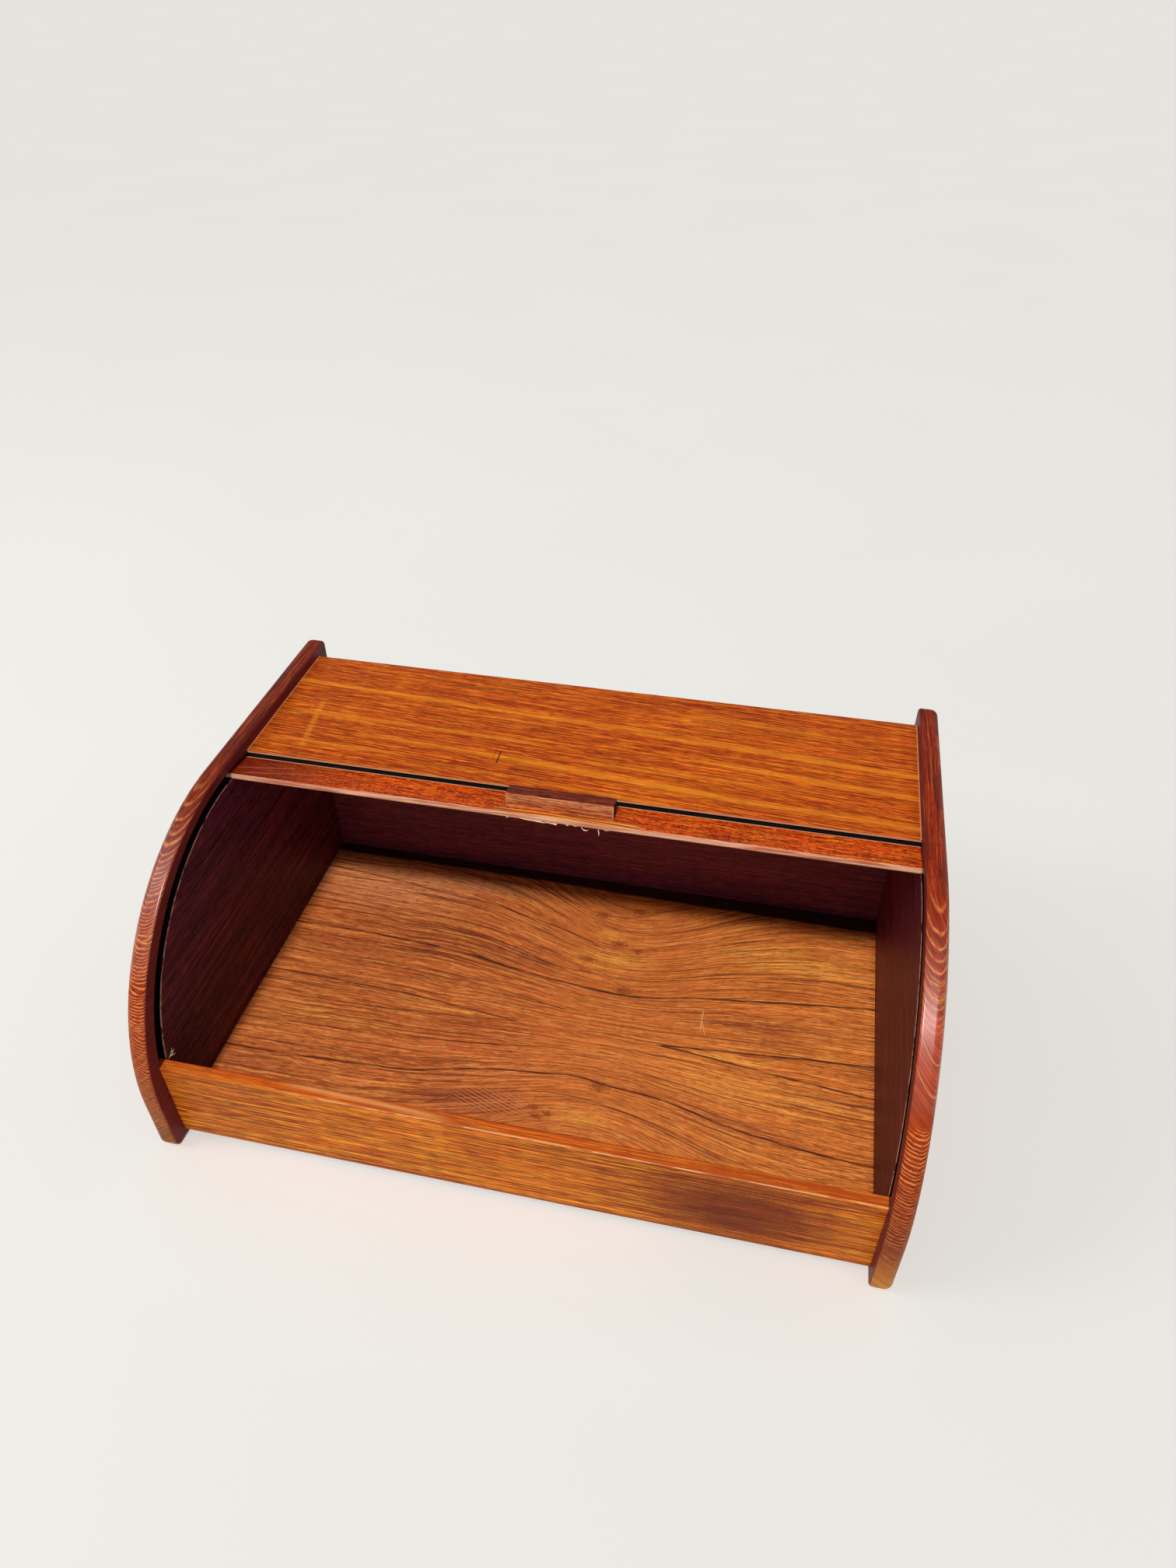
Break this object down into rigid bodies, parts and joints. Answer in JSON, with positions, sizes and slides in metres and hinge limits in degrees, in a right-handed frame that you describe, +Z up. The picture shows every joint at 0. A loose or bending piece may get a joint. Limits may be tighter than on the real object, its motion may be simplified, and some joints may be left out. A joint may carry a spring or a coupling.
{
  "type": "roll-top box",
  "caption": "Wooden roll-top storage box: round-nosed sides, low front board and a slatted curtain that runs in curved grooves and stows behind under the top.",
  "frame": {"origin": "on the ground, under the middle of the box", "axes": "+X towards the right side, +Y towards the back, +Z up; the mouth faces -Y"},
  "size_m": [0.424, 0.289, 0.1784],
  "materials": {
    "side_wood": "oiled, satin",
    "top_veneer": "oiled, satin",
    "board_wood": "oiled, satin",
    "floor_veneer": "oiled, matt",
    "inner_back_veneer": "oiled, matt",
    "back_veneer": "oiled, matt",
    "rail_wood": "oiled, satin",
    "handle_wood": "oiled, satin",
    "slat_wood": "oiled, satin",
    "canvas": "plain weave",
    "screw_brass": "satin"
  },
  "bodies": {
    "case": {"left_side": "side_wood", "right_side": "side_wood", "top_panel": "top_veneer", "front_board": "board_wood", "bottom_panel": "floor_veneer", "inner_back_board": "inner_back_veneer", "back_panel": "back_veneer"},
    "curtain": {"lead_rail": "rail_wood", "handle": "handle_wood", "handle_screws": "screw_brass", "canvas_backing": "canvas", "slat_01": "slat_wood", "slat_02": "slat_wood", "slat_03": "slat_wood", "slat_04": "slat_wood", "slat_05": "slat_wood", "slat_06": "slat_wood", "slat_07": "slat_wood", "slat_08": "slat_wood", "slat_09": "slat_wood", "slat_10": "slat_wood", "slat_11": "slat_wood", "slat_12": "slat_wood", "slat_13": "slat_wood", "slat_14": "slat_wood", "slat_15": "slat_wood", "slat_16": "slat_wood"}
  },
  "joints": [
    {"name": "curtain_travel", "type": "hinge", "parent": "case", "child": "curtain", "pos_m": [0, -0.004, 0.0417], "axis": [1, 0, 0], "range_deg": [0, 82.3]}
  ]
}
